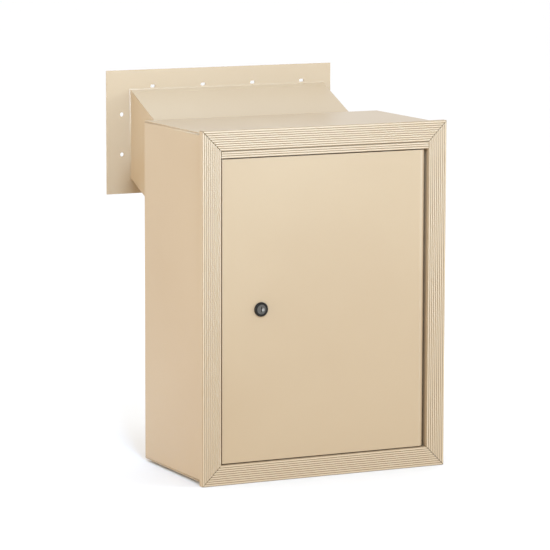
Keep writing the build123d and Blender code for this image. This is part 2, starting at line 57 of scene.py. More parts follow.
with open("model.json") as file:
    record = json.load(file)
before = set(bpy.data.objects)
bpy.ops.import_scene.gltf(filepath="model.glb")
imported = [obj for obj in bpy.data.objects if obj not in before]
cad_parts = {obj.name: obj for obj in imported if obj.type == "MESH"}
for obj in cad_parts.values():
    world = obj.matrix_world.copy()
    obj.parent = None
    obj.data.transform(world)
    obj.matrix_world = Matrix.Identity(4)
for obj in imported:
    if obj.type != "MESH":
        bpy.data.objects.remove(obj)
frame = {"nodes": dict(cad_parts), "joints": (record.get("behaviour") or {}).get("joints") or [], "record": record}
cad_low, cad_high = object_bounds()
bodies = frame["record"]["behaviour"]["bodies"]
body_of_node = {node: body for body, nodes in bodies.items() for node in nodes}
joint_at = {joint["name"]: Vector(joint["pos_m"]) for joint in frame["joints"]}
hinge_at = joint_at["door_hinge"]
lock_at = joint_at["lock_turn"]
frame_low = Vector((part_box("left_rail")[0].x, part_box("left_rail")[0].y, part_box("bottom_rail")[0].z))
frame_high = Vector((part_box("right_rail")[1].x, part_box("right_rail")[1].y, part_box("top_rail")[1].z))
header_low, header_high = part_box("header_strip")


# ---- sizes and colours a user would change ----

def number(name, default, description, **settings):
    """A number with its unit, subtype or limits."""
    return bpy.props.FloatProperty(name=name, default=default, description=description, **settings)


def length(name, default, description):
    """A length in metres, shown in the scene's units."""
    return number(name, default, description, unit="LENGTH", precision=5, min=0.0)


def angle(name, degrees, description):
    """An angle whose default is given in degrees."""
    return number(name, math.radians(degrees), description, subtype="ANGLE")


def power(name, default, description):
    """A light's power in watts."""
    return number(name, default, description, unit="POWER", min=0.0)


def count(name, default, description):
    """A whole number, one or more."""
    return bpy.props.IntProperty(name=name, default=default, description=description, min=1)


def colour(name, default, description):
    """A linear colour."""
    return bpy.props.FloatVectorProperty(
        name=name, default=default, description=description, subtype="COLOR", size=3, min=0.0, max=1.0)


class MAILBOX_PG_frame_sizes(bpy.types.PropertyGroup):
    """The section of the ribbed frame rails."""
    rail_face: length("Rail face", 30.0 * MM, "Width of a rail seen from the front")
    rail_wall: length("Rail wall", 2.2 * MM, "Thickness behind the ribs")
    rail_leg: length("Rail leg", 2.0 * MM, "Thickness of the rail's legs")
    outer_leg: length("Outer leg", 10.5 * MM, "Depth of the frame's visible side")
    clip_start: length("Clip leg start", 5.9 * MM, "From the outer edge to the clip leg")
    clip_leg: length("Clip leg", 16.0 * MM, "Depth of the leg behind the box's sheet")
    stop_lip: length("Stop lip", 6.0 * MM, "What the door closes against")
    hinge_lip: length("Hinge lip", 8.0 * MM, "Lip behind the rolled hinge edge")
    mitre_gap: length("Mitre gap", 0.8 * MM, "Open joint between two rails")
    outer_round: length("Outer rounding", 1.0 * MM, "Radius of the frame's front edge")
    small_round: length("Small rounding", 0.3 * MM, "Radius of the section's other corners")
    rib_pitch: length("Rib pitch", 3.2 * MM, "From rib to rib")
    rib_height: length("Rib height", 0.9 * MM, "How far a rib stands out")
    rib_top: length("Rib top", 1.7 * MM, "Flat top of a rib")
    rib_root: length("Rib root", 2.6 * MM, "Width of a rib at its foot")
    rib_count: count("Ribs", 9, "Ribs on a rail")
    header_ribs: count("Header ribs", 3, "Ribs on the header")
    header_wall: length("Header wall", 2.0 * MM, "Thickness of the header strip")


class MAILBOX_PG_sheet_sizes(bpy.types.PropertyGroup):
    """Edges of folded sheet and of small turned pieces."""
    sheet_edge: length("Sheet edge", 0.3 * MM, "Softening of the cut sheet edges")
    turned_edge: length("Turned edge", 0.12 * MM, "Softening of turned and stamped edges")
    rubber_edge: length("Rubber edge", 0.5 * MM, "Softening of the rubber pads")
    pin_bore: length("Pin bore", 3.05 * MM, "Radius of the hinge pins' bores")
    door_gap: length("Door gap", 1.5 * MM, "Gap round the door")
    fastener_bore: length("Fastener bore", 2.05 * MM, "Radius of the rivet and screw holes")


class MAILBOX_PG_fastener_sizes(bpy.types.PropertyGroup):
    """Blind rivets and pan-head screws."""
    head_radius: length("Head radius", 3.4 * MM, "Radius of a rivet's or header screw's head")
    rivet_head: length("Rivet head", 1.1 * MM, "Height of a rivet's domed head")
    shank_radius: length("Shank radius", 2.0 * MM, "Radius of the shanks")
    tail_radius: length("Tail radius", 2.7 * MM, "Radius of a set rivet's tail")
    tail_length: length("Tail length", 1.3 * MM, "Length of a set rivet's tail")
    mandrel_radius: length("Mandrel radius", 1.05 * MM, "Radius of the dimple in a rivet's head")
    screw_head: length("Screw head", 1.8 * MM, "Height of a header screw's head")


class MAILBOX_PG_finish_colours(bpy.types.PropertyGroup):
    """Colours of the coat, the metals and the soft pieces."""
    coat: colour("Coat", (0.455, 0.333, 0.203), "Powder coat")
    # the coat thinned over edges, and also the painted highlight on the rib tops
    coat_thin_and_highlight: colour("Thin coat and highlight", (0.600, 0.472, 0.322), "Powder coat where it thins over edges, and the painted highlight on rib tops")
    coat_deep: colour("Deep coat", (0.428, 0.306, 0.182), "Powder coat where it lies thicker")
    # painted shade laid into the grooves between the ribs
    painted_groove_shade: colour("Groove shade", (0.250, 0.168, 0.095), "Painted shade in the grooves between ribs")
    lock: colour("Lock", (0.030, 0.028, 0.026), "Dark plated rim of the lock")
    lock_face: colour("Lock face", (0.130, 0.125, 0.115), "Greyer plating of the lock's middle")
    # the lock's worn colour is also its painted highlight
    lock_worn_and_highlight: colour("Worn lock and highlight", (0.50, 0.49, 0.47), "Lock metal rubbed bright on its edges, and the painted highlight right of its middle")
    zinc: colour("Zinc", (0.58, 0.57, 0.54), "Zinc plating")
    zinc_yellow: colour("Passivated zinc", (0.56, 0.53, 0.44), "Warmer patches of the plating")
    zinc_worn: colour("Worn zinc", (0.78, 0.78, 0.76), "Zinc plating rubbed bright on its edges")
    aluminium: colour("Aluminium", (0.66, 0.66, 0.66), "Mill-finish aluminium")
    aluminium_dull: colour("Dull aluminium", (0.52, 0.52, 0.53), "Duller patches of the aluminium")
    nylon: colour("Nylon", (0.64, 0.60, 0.50), "Natural nylon")
    nylon_flow: colour("Nylon flow", (0.55, 0.50, 0.38), "Flow marks in the nylon")
    rubber: colour("Rubber", (0.022, 0.022, 0.022), "Black rubber")
    rubber_dust: colour("Dusty rubber", (0.075, 0.072, 0.066), "Bloom and dust on the rubber")
    floor: colour("Floor", (0.93, 0.93, 0.93), "Pale floor")
    floor_patch: colour("Floor patches", (0.90, 0.90, 0.90), "Faint patches on the floor")


class MAILBOX_PG_studio_sizes(bpy.types.PropertyGroup):
    """Camera, lights and floor."""
    lens: number("Lens", 220.54, "Focal length on a 36 mm sensor", unit="CAMERA")
    camera_at: bpy.props.FloatVectorProperty(
        name="Camera place", default=(-2.1659, -4.6584, 0.4449), subtype="TRANSLATION", unit="LENGTH",
        description="Where the camera stands")
    camera_turn: angle("Camera turn", 25.757, "Turned towards the right")
    camera_dip: angle("Camera dip", 8.211, "Tilted down")
    camera_roll: angle("Camera roll", 0.137, "Rolled about its axis")
    floor_side: length("Floor side", 60.0, "Side of the square floor")
    sky_strength: number("Sky", 1.08, "Strength of the soft sky", min=0.0)
    front_power: power("Front light", 10.0, "Power of the broad front light")
    upper_power: power("Upper light", 4.0, "Power of the light on the wall flange")
    left_power: power("Left light", 20.0, "Power of the light at the left")
    right_power: power("Right light", 36.0, "Power of the light at the right")


SETTINGS = {
    "mailbox_frame": MAILBOX_PG_frame_sizes,
    "mailbox_sheet": MAILBOX_PG_sheet_sizes,
    "mailbox_fasteners": MAILBOX_PG_fastener_sizes,
    "mailbox_colours": MAILBOX_PG_finish_colours,
    "mailbox_studio": MAILBOX_PG_studio_sizes,
}


# ---- nodes as Python expressions ----

def maths(operation, reflected=False):
    """A method that puts its wire, and any other value, through a Math node."""
    def method(self, *others):
        values = (*others, self) if reflected else (self, *others)
        return self.board.node("ShaderNodeMath", {"operation": operation}, dict(enumerate(values)))[0]
    return method


class Wire:
    """A node's output that can stand in a sum."""

    def __init__(self, board, socket):
        self.board = board
        self.socket = socket

    __add__, __radd__ = maths("ADD"), maths("ADD", reflected=True)
    __sub__, __rsub__ = maths("SUBTRACT"), maths("SUBTRACT", reflected=True)
    __mul__, __rmul__ = maths("MULTIPLY"), maths("MULTIPLY", reflected=True)
    __truediv__, __pow__ = maths("DIVIDE"), maths("POWER")
    __lt__, __abs__ = maths("LESS_THAN"), maths("ABSOLUTE")
    rounded, sine = maths("ROUND"), maths("SINE")


class Board:
    """A node tree with one way to add a node: its settings first, then its inputs' values or wires."""

    def __init__(self, tree):
        self.tree = tree

    def node(self, kind, settings=None, inputs=None):
        made = self.tree.nodes.new(kind)
        for name, value in (settings or {}).items():
            setattr(made, name, value)
        for key, value in (inputs or {}).items():
            for each in value if isinstance(value, list) else [value]:
                if isinstance(each, Wire):
                    self.tree.links.new(each.socket, made.inputs[key])
                else:
                    made.inputs[key].default_value = each
        return [Wire(self, socket) for socket in made.outputs]

    def noise(self, place, scale, detail=2.0, roughness=0.5):
        inputs = {"Vector": place, "Scale": scale, "Detail": detail, "Roughness": roughness}
        return self.node("ShaderNodeTexNoise", {}, inputs)[0]

    def ease(self, value, low, high):
        """0 below low, 1 above high, smooth between."""
        inputs = {"Value": value, "From Min": low, "From Max": high}
        return self.node("ShaderNodeMapRange", {"interpolation_type": "SMOOTHSTEP"}, inputs)[0]

    def blend(self, share, *pair):
        """A colour between two others, each a wire or a plain colour."""
        first, second = (each if isinstance(each, Wire) else (*each, 1.0) for each in pair)
        inputs = {0: share, 6: first, 7: second}
        return self.node("ShaderNodeMix", {"data_type": "RGBA", "clamp_factor": True}, inputs)[2]

    def edge(self, radius):
        """1 on edges sharper than the radius, 0 on open surface."""
        soft = self.node("ShaderNodeBevel", {"samples": 4}, {"Radius": radius})[0]
        plain = self.node("ShaderNodeNewGeometry")[1]
        along = self.node("ShaderNodeVectorMath", {"operation": "DOT_PRODUCT"}, {0: soft, 1: plain})[1]
        return self.ease(1.0 - along, 0.02, 0.30)


# ---- finishes ----

# how far behind the frame's front the painted highlight on the rib tops fades out, and where the painted shade in
# the grooves fades in and ends
RIB_HIGHLIGHT_FADE = (0.12 * MM, 0.35 * MM)
GROOVE_SHADE_FADE = (0.45 * MM, 0.85 * MM)
GROOVE_SHADE_END = 1.15 * MM

# painted highlight on the lock, laid on as a patch rubbed bright by keys: right of its middle and below it, how
# far round there, and the width of the fade
HIGHLIGHT_PATCH_RIGHT, HIGHLIGHT_PATCH_DOWN, HIGHLIGHT_PATCH_RADIUS, HIGHLIGHT_PATCH_FADE = 2.6 * MM, 0.6 * MM, 3.0 * MM, 1.6 * MM
LOCK_RIM_FADE = (6.4 * MM, 7.6 * MM)
TURNING_PITCH = 0.42 * MM


def new_finish(name, **uniform):
    """A material, its board, its one Principled shader with the uniform numbers, and Object coordinates."""
    made = bpy.data.materials.new(name + "_finish")
    made.use_nodes = True
    made.node_tree.nodes.clear()
    board = Board(made.node_tree)
    shader = made.node_tree.nodes.new("ShaderNodeBsdfPrincipled")
    output = made.node_tree.nodes.new("ShaderNodeOutputMaterial")
    made.node_tree.links.new(shader.outputs[0], output.inputs["Surface"])
    for socket, value in uniform.items():
        shader.inputs[socket.replace("_", " ")].default_value = value
    place = board.node("ShaderNodeTexCoord")[3]
    return made, board, shader, place


def lay_on(board, shader, base, roughness, height, distance, strength):
    """Joins the varying colour, roughness and bump to the shader."""
    inputs = {"Strength": strength, "Distance": distance, "Height": height}
    bump = board.node("ShaderNodeBump", {}, inputs)[0]
    for socket, wire in (("Base Color", base), ("Roughness", roughness), ("Normal", bump)):
        board.tree.links.new(wire.socket, shader.inputs[socket])


def sandstone_coat(colours):
    """Satin powder coat: orange peel, faint clouds, paler over edges, a painted highlight on the rib tops and
    painted shade in the grooves.
    """
    made, board, shader, place = new_finish(
        "sandstone_coat", Specular_IOR_Level=0.40, Coat_Weight=0.04, Coat_Roughness=0.25)
    peel = board.noise(place, 620.0, 1.5)
    grain = board.noise(place, 2100.0, 1.0)
    cloud = board.noise(place, 4.5, 3.0)
    thin = board.edge(0.7 * MM)
    base = board.blend(board.ease(cloud, 0.30, 0.70) * 0.55, colours.coat, colours.coat_deep)
    base = board.blend(board.ease(grain, 0.56, 0.72) * 0.10, base, colours.coat_thin_and_highlight)
    base = board.blend(thin * 0.20, base, colours.coat_thin_and_highlight)
    behind = board.node("ShaderNodeSeparateXYZ", {}, {0: place})[1] - frame_low.y
    # painted highlight: the rib tops at the frame's front are laid paler
    rib_top = 1.0 - board.ease(behind, *RIB_HIGHLIGHT_FADE)
    base = board.blend(rib_top * 0.75, base, colours.coat_thin_and_highlight)
    # painted shade: the grooves behind the rib tops are laid darker
    groove = board.ease(behind, *GROOVE_SHADE_FADE) * (behind < GROOVE_SHADE_END)
    base = board.blend(groove * 0.75, base, colours.painted_groove_shade)
    roughness = 0.37 + (peel - 0.5) * 0.10 + (cloud - 0.5) * 0.08 - thin * 0.06
    lay_on(board, shader, base, roughness, peel * 0.75 + grain * 0.25, 0.05 * MM, 0.55)
    return made


def lock_metal(colours):
    """Plating with turning rings about the lock's axis: dark rim, greyer face, edges rubbed bright, and a painted
    highlight laid on as a key-rubbed patch right of the middle.
    """
    made, board, shader, place = new_finish("lock_metal", Metallic=1.0)
    centred = board.node("ShaderNodeMapping", {}, {"Vector": place, "Location": tuple(-lock_at)})[0]
    x, _, z = board.node("ShaderNodeSeparateXYZ", {}, {0: centred})
    radius = (x * x + z * z) ** 0.5
    ring = (radius * (2 * math.pi / TURNING_PITCH) + board.noise(place, 300.0) * 4.0).sine()
    scuff = board.noise(place, 900.0, 4.0, 0.7)
    across, up = x - HIGHLIGHT_PATCH_RIGHT, z + HIGHLIGHT_PATCH_DOWN
    beside = (across * across + up * up) ** 0.5
    # painted highlight: a bright patch right of the lock's middle, laid on as key rubbing, plus its edges rubbed
    # bright
    highlight_and_wear = board.ease(HIGHLIGHT_PATCH_RADIUS - beside, 0.0, HIGHLIGHT_PATCH_FADE) * board.ease(scuff, 0.36, 0.56)
    highlight_and_wear = highlight_and_wear * 0.9 + board.edge(0.3 * MM) * 0.35
    base = board.blend(board.ease(radius, *LOCK_RIM_FADE), colours.lock_face, colours.lock)
    base = board.blend(highlight_and_wear, base, colours.lock_worn_and_highlight)
    roughness = 0.26 + scuff * 0.12 + ring * 0.03
    lay_on(board, shader, base, roughness, ring * 0.5 + scuff * 0.5, 0.012 * MM, 0.6)
    return made


def plated_steel(colours):
    """Zinc plating: fine spangle, a little yellow passivation, brighter edges."""
    made, board, shader, place = new_finish("plated_steel", Metallic=1.0)
    spangle = board.node("ShaderNodeTexVoronoi", {}, {"Vector": place, "Scale": 520.0})[0]
    cloud = board.noise(place, 90.0, 3.0)
    base = board.blend(board.ease(cloud, 0.40, 0.65), colours.zinc, colours.zinc_yellow)
    base = board.blend(board.edge(0.3 * MM) * 0.5, base, colours.zinc_worn)
    roughness = 0.30 + spangle * 0.16 + (cloud - 0.5) * 0.12
    lay_on(board, shader, base, roughness, board.noise(place, 1400.0, 2.0), 0.01 * MM, 0.5)
    return made


def mill_aluminium(colours):
    """Mill-finish aluminium with fine drawing lines."""
    made, board, shader, place = new_finish("mill_aluminium", Metallic=1.0)
    drawn = board.node("ShaderNodeMapping", {}, {"Vector": place, "Scale": (1.0, 26.0, 1.0)})[0]
    line = board.noise(drawn, 160.0, 3.0)
    cloud = board.noise(place, 120.0, 2.0)
    patch = board.ease(cloud, 0.35, 0.75) * 0.5
    base = board.blend(patch, colours.aluminium, colours.aluminium_dull)
    roughness = 0.32 + line * 0.16
    lay_on(board, shader, base, roughness, line, 0.01 * MM, 0.5)
    return made


def natural_nylon(colours):
    """Moulded nylon: faint flow marks and a fine texture."""
    made, board, shader, place = new_finish("nylon", Subsurface_Weight=0.08)
    flow = board.noise(place, 240.0, 2.0)
    base = board.blend(board.ease(flow, 0.35, 0.7) * 0.5, colours.nylon, colours.nylon_flow)
    lay_on(board, shader, base, 0.42 + flow * 0.14, board.noise(place, 1800.0), 0.015 * MM, 0.6)
    return made


def black_rubber(colours):
    """Dull rubber with a dusty bloom on its edges."""
    made, board, shader, place = new_finish("rubber")
    dust = board.noise(place, 700.0, 3.0)
    share = board.ease(dust, 0.5, 0.75) * 0.25 + board.edge(0.6 * MM) * 0.35
    base = board.blend(share, colours.rubber, colours.rubber_dust)
    lay_on(board, shader, base, 0.72 + dust * 0.16, dust, 0.03 * MM, 0.7)
    return made


def pale_floor(colours):
    """Pale, even floor."""
    made, board, shader, place = new_finish("pale_floor")
    patch = board.noise(place, 0.7, 2.0)
    base = board.blend(patch * 0.3, colours.floor, colours.floor_patch)
    lay_on(board, shader, base, 0.85 + patch * 0.05, patch, 0.1 * MM, 0.1)
    return made


FINISHES = {
    "sandstone_coat": sandstone_coat,
    "lock_metal": lock_metal,
    "plated_steel": plated_steel,
    "mill_aluminium": mill_aluminium,
    "nylon": natural_nylon,
    "rubber": black_rubber,
    "pale_floor": pale_floor,
}


def finish_named(name):
    """The finish, made the first time it is asked for.

    Its material's name isn't the slot's alone, which the frame's own plain material has.
    """
    return bpy.data.materials.get(name + "_finish") or FINISHES[name](bpy.context.scene.mailbox_colours)


# ---- meshes ----

FLAT = math.radians(0.5)       # faces of a copied node that meet flatter than this become one
SHARP = math.radians(32.0)     # its edges sharper than this are rounded off
SHORT = 10                     # sheet edges shorter than this many roundings stay as they are


def merged_copy(node):
    """A CAD node's loose triangles as a bmesh with their corners joined."""
    work = bmesh.new()
    work.from_mesh(frame["nodes"][node].data)
    bmesh.ops.remove_doubles(work, verts=work.verts, dist=WELD)
    return work


def mesh_of(work, name):
    """A new mesh with what the bmesh holds. The bmesh is freed."""
    mesh = bpy.data.meshes.new(name)
    work.to_mesh(mesh)
    work.free()
    return mesh


def new_object(name, data):
    made = bpy.data.objects.new(name, data)
    bpy.context.scene.collection.objects.link(made)
    return made


def settled(piece):
    """The piece as its modifiers show it, with those modifiers gone."""
    graph = bpy.context.evaluated_depsgraph_get()
    mesh = bpy.data.meshes.new_from_object(piece.evaluated_get(graph))
    piece.modifiers.clear()
    old, piece.data = piece.data, mesh
    bpy.data.meshes.remove(old)
    mesh.name = piece.name
    return piece


def modified(piece, kind, **settings):
    """The piece with one modifier, applied to its mesh."""
    made = piece.modifiers.new(kind, kind)
    for name, value in settings.items():
        setattr(made, name, value)
    return settled(piece)


def smoothed(piece, sharp_degrees=48.0):
    """Smooth shading that leaves flat faces flat and true corners sharp."""
    piece.data.shade_smooth()
    piece.data.set_sharp_from_angle(angle=math.radians(sharp_degrees))
    return modified(piece, "WEIGHTED_NORMAL", keep_sharp=True)


def check_closed(piece):
    """Stops the script if a piece has an open or doubled edge, or is inside out."""
    work = bmesh.new()
    work.from_mesh(piece.data)
    open_edges = sum(1 for edge in work.edges if not edge.is_manifold)
    volume = work.calc_volume(signed=True)
    work.free()
    if open_edges or volume <= 0.0:
        raise RuntimeError(f"{piece.name} has {open_edges} open edges and a volume of {volume:.3g}")


def hand_over(piece, body, slot, *nodes):
    """Checks that a finished piece is closed, gives it the finish of its slot, hangs it on its body and hides the
    CAD nodes it stands for.
    """
    check_closed(piece)
    piece.data.materials.clear()
    piece.data.materials.append(finish_named(slot))
    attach(piece, body)
    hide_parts(*nodes)
    return piece


def softened(node, slot, width, shortest=0.0, segments=2):
    """A merged copy of a CAD node whose sharp edges, apart from the shortest, are rounded off."""
    work = merged_copy(node)
    bmesh.ops.dissolve_limit(work, angle_limit=FLAT, verts=work.verts, edges=work.edges)
    weight = work.edges.layers.float.new("bevel_weight_edge")
    for edge in work.edges:
        sharp = edge.calc_face_angle(0.0) > SHARP
        edge[weight] = 1.0 if sharp and edge.calc_length() > shortest else 0.0
    piece = new_object(node + "_finished", mesh_of(work, node + "_finished"))
    modified(piece, "BEVEL", width=width, segments=segments, limit_method="WEIGHT", use_clamp_overlap=False)
    smoothed(piece)
    return hand_over(piece, body_of_node[node], slot, node)


def solids_of(node):
    """The lowest and highest corner of each separate solid of a CAD node."""
    work = merged_copy(node)
    left = set(work.verts)
    found = []
    while left:
        reached = [left.pop()]
        corners = []
        while reached:
            vertex = reached.pop()
            corners.append(vertex.co.copy())
            for edge in vertex.link_edges:
                other = edge.other_vert(vertex)
                if other in left:
                    left.remove(other)
                    reached.append(other)
        low = Vector(min(corner[axis] for corner in corners) for axis in range(3))
        high = Vector(max(corner[axis] for corner in corners) for axis in range(3))
        found.append((low, high))
    work.free()
    return sorted(found, key=lambda box: tuple(round(value, 4) for value in box[0]))


def lathe(name, profile, sides=32):
    """A solid turned about Z from a profile of radius and height that starts and ends on the axis."""
    work = bmesh.new()
    turns = [2 * math.pi * side / sides for side in range(sides)]
    circle = [(math.cos(turn), math.sin(turn)) for turn in turns]
    rings = []
    for radius, height in profile:
        places = circle if radius else [(0.0, 0.0)]
        rings.append([work.verts.new((radius * x, radius * y, height)) for x, y in places])
    for upper, lower in zip(rings, rings[1:]):
        for side in range(sides):
            after = (side + 1) % sides
            if len(upper) == 1:
                corners = [upper[0], lower[side], lower[after]]
            elif len(lower) == 1:
                corners = [upper[side], lower[0], upper[after]]
            else:
                corners = [upper[side], lower[side], lower[after], upper[after]]
            work.faces.new(corners)
    bmesh.ops.recalc_face_normals(work, faces=work.faces)
    return mesh_of(work, name)


def arc(centre, radii, start, end, steps):
    """Points of an ellipse's arc, as radius and height, between two angles in degrees."""
    angles = [math.radians(start + (end - start) * step / steps) for step in range(steps + 1)]
    return [(centre[0] + radii[0] * math.cos(a), centre[1] + radii[1] * math.sin(a)) for a in angles]


def solid_box(work, low, high):
    """Adds a box to a bmesh."""
    middle = (Vector(low) + Vector(high)) / 2
    size = Vector(high) - Vector(low)
    bmesh.ops.create_cube(work, size=1.0, matrix=Matrix.Translation(middle) @ Matrix.Diagonal((*size, 1.0)))


def solid_rod(work, start, end, radius, sides=40):
    """Adds a cylinder between two points to a bmesh."""
    start, end = Vector(start), Vector(end)
    turn = (end - start).to_track_quat("Z", "Y").to_matrix().to_4x4()
    place = Matrix.Translation((start + end) / 2) @ turn
    bmesh.ops.create_cone(work, cap_ends=True, segments=sides, radius1=radius, radius2=radius,
                          depth=(end - start).length, matrix=place)


# ---- geometry node trees ----

class ShapeTree(Board):
    """A geometry node tree with named inputs."""

    def __init__(self, name, inputs):
        super().__init__(bpy.data.node_groups.new(name, "GeometryNodeTree"))
        sockets = self.tree.interface
        sockets.new_socket(name="Geometry", in_out="INPUT", socket_type="NodeSocketGeometry")
        for label, (kind, default) in inputs.items():
            socket = sockets.new_socket(name=label, in_out="INPUT", socket_type="NodeSocket" + kind)
            if default is not None:
                socket.default_value = default
        sockets.new_socket(name="Geometry", in_out="OUTPUT", socket_type="NodeSocketGeometry")
        entry = self.tree.nodes.new("NodeGroupInput")
        self.inputs = {socket.name: Wire(self, socket) for socket in entry.outputs if socket.name}

    def __getitem__(self, label):
        return self.inputs[label]

    def end(self, geometry):
        """Realize Instances and Set Material close every tree."""
        real = self.node("GeometryNodeRealizeInstances", {}, {"Geometry": geometry})[0]
        painted = self.node("GeometryNodeSetMaterial", {}, {
            "Geometry": real, "Material": self["Finish"]})[0]
        exit_node = self.tree.nodes.new("NodeGroupOutput")
        self.tree.links.new(painted.socket, exit_node.inputs[0])
        return self.tree


def grown(piece, tree, values):
    """Runs a geometry node tree on a piece and keeps the result as a plain mesh."""
    made = piece.modifiers.new(tree.name, "NODES")
    made.node_group = tree
    labels = {item.name: item.identifier for item in tree.interface.items_tree if item.in_out == "INPUT"}
    for label, value in values.items():
        made[labels[label]] = value
    return settled(piece)


def ribbed_bar_tree():
    """Raises the ribs of a section, draws it out to a bar, mitres its ends and cuts its holes.

    The section lies in XY: x runs inward from the outer edge, y runs back from the front.
    """
    tree = ShapeTree("Ribbed bar", {
        "Length": ("Float", 0.4),
        "Face Width": ("Float", 30.0 * MM),
        "Rib Count": ("Int", 9),
        "Rib Pitch": ("Float", 3.2 * MM),
        "Rib Height": ("Float", 0.9 * MM),
        "Rib Top": ("Float", 1.7 * MM),
        "Rib Root": ("Float", 2.6 * MM),
        "Mitre": ("Float", 1.0),
        "End Gap": ("Float", 0.0),
        "Place": ("Vector", None),
        "Turn": ("Rotation", None),
        "Cutters": ("Object", None),
        "Finish": ("Material", None),
    })
    outline = tree.node("GeometryNodeMeshToCurve", {}, {0: tree["Geometry"]})[0]
    face = tree.node("GeometryNodeFillCurve", {"mode": "NGONS"}, {"Curve": outline})[0]
    drawn = tree.node("GeometryNodeExtrudeMesh", {"mode": "FACES"}, {
        "Mesh": face, "Offset": (0.0, 0.0, 1.0), "Offset Scale": 1.0, "Individual": False})[0]
    back = tree.node("GeometryNodeFlipFaces", {}, {0: face})[0]
    both = tree.node("GeometryNodeJoinGeometry", {}, {0: [drawn, back]})[0]
    closed = tree.node("GeometryNodeMergeByDistance", {}, {"Geometry": both, "Distance": WELD})[0]

    inward, depth, along = tree.node(
        "ShaderNodeSeparateXYZ", {}, {0: tree.node("GeometryNodeInputPosition")[0]})
    middle = tree["Face Width"] / 2
    last = tree["Rib Count"] - 1
    nearest = ((inward - middle) / tree["Rib Pitch"] + last / 2).rounded()
    nearest = tree.node("ShaderNodeClamp", {}, {"Value": nearest, "Min": 0.0, "Max": last})[0]
    away = abs(inward - middle - (nearest - last / 2) * tree["Rib Pitch"])
    rib = 1.0 - tree.ease(away, tree["Rib Top"] / 2, tree["Rib Root"] / 2)
    on_front = depth < tree["Rib Height"] + WELD
    raised = depth - tree["Rib Height"] * rib * on_front
    reach = tree["Length"] / 2 - tree["Mitre"] * inward - tree["End Gap"]
    place = tree.node("ShaderNodeCombineXYZ", {}, {
        0: (along * 2 - 1) * reach, 1: raised, 2: inward * -1})[0]
    shaped = tree.node("GeometryNodeSetPosition", {}, {"Geometry": closed, "Position": place})[0]
    placed = tree.node("GeometryNodeTransform", {}, {
        "Geometry": shaped, "Translation": tree["Place"], "Rotation": tree["Turn"]})[0]
    cutters = tree.node("GeometryNodeObjectInfo", {}, {"Object": tree["Cutters"]})[4]
    cut = tree.node("GeometryNodeMeshBoolean", {"operation": "DIFFERENCE", "solver": "MANIFOLD"}, {
        "Mesh 1": placed, "Mesh 2": cutters})[0]
    return tree.end(cut)


def set_in_places_tree():
    """Stands one fastener on every point, along the point's direction, each turned at random."""
    tree = ShapeTree("Set in places", {
        "Fastener": ("Object", None),
        "Seed": ("Int", 7),
        "Finish": ("Material", None),
    })
    direction = tree.node("GeometryNodeInputNamedAttribute", {"data_type": "FLOAT_VECTOR"}, {
        "Name": "outward"})[0]
    aligned = tree.node("FunctionNodeAlignRotationToVector", {"axis": "Z"}, {"Vector": direction})[0]
    spin = tree.node("FunctionNodeRandomValue", {"data_type": "FLOAT"}, {
        2: 0.0, 3: 2 * math.pi, "Seed": tree["Seed"]})[1]
    own = tree.node("FunctionNodeAxisAngleToRotation", {}, {"Axis": (0.0, 0.0, 1.0), "Angle": spin})[0]
    turned = tree.node("FunctionNodeRotateRotation", {"rotation_space": "LOCAL"}, {
        "Rotation": aligned, "Rotate By": own})[0]
    shape = tree.node("GeometryNodeObjectInfo", {}, {"Object": tree["Fastener"]})[4]
    points = tree.node("GeometryNodeMeshToPoints", {}, {"Mesh": tree["Geometry"]})[0]
    placed = tree.node("GeometryNodeInstanceOnPoints", {}, {
        "Points": points, "Instance": shape, "Rotation": turned})[0]
    return tree.end(placed)


def tree_named(name, build):
    """The tree, built the first time it is asked for."""
    return bpy.data.node_groups.get(name) or build()


# ---- frame rails and header strip ----

CORNER_STEPS = 3
STEPS_PER_RIB = 20


def rounded_outline(corners):
    """The points of a closed outline whose corners, given as x, y and radius, are arcs."""
    points = []
    for index, (x, y, radius) in enumerate(corners):
        corner = Vector((x, y))
        before = (Vector(corners[index - 1][:2]) - corner).normalized()
        after = (Vector(corners[(index + 1) % len(corners)][:2]) - corner).normalized()
        half = math.acos(before.dot(after)) / 2
        centre = corner + (before + after).normalized() * (radius / math.sin(half))
        start = corner + before * (radius / math.tan(half)) - centre
        end = corner + after * (radius / math.tan(half)) - centre
        turn = math.atan2(start.x * end.y - start.y * end.x, start.dot(end))
        for step in range(CORNER_STEPS + 1):
            points.append(centre + Matrix.Rotation(turn * step / CORNER_STEPS, 2) @ start)
    return points


def section_mesh(name, corners, ribs):
    """A closed section as a loop of edges. Its first side, the ribbed front, is finely divided."""
    points = rounded_outline(corners)
    first = CORNER_STEPS + 1
    start, end = points[first - 1], points[first]
    steps = ribs * STEPS_PER_RIB
    fine = [start + (end - start) * step / steps for step in range(1, steps)]
    points = points[:first] + fine + points[first:]
    mesh = bpy.data.meshes.new(name)
    edges = [(index, (index + 1) % len(points)) for index in range(len(points))]
    mesh.from_pydata([(point.x, point.y, 0.0) for point in points], edges, [])
    return mesh


def rail_corners(sizes, jamb, lip):
    """The rail's section: ribbed face, jamb with its stop lip, clip leg and outer leg."""
    face, leg, clip = sizes.rail_face, sizes.rail_leg, sizes.clip_start
    front, behind = sizes.rib_height, sizes.rib_height + sizes.rail_wall
    places = [(face, front)]
    if lip > 0.0:
        places += [(face, jamb - leg), (face + lip, jamb - leg), (face + lip, jamb)]
    else:
        places.append((face, jamb))
    places += [(face - leg, jamb), (face - leg, behind), (clip + leg, behind), (clip + leg, sizes.clip_leg)]
    places += [(clip, sizes.clip_leg), (clip, behind), (leg, behind), (leg, sizes.outer_leg)]
    places.append((0.0, sizes.outer_leg))
    return [(0.0, front, sizes.outer_round)] + [(x, y, sizes.small_round) for x, y in places]


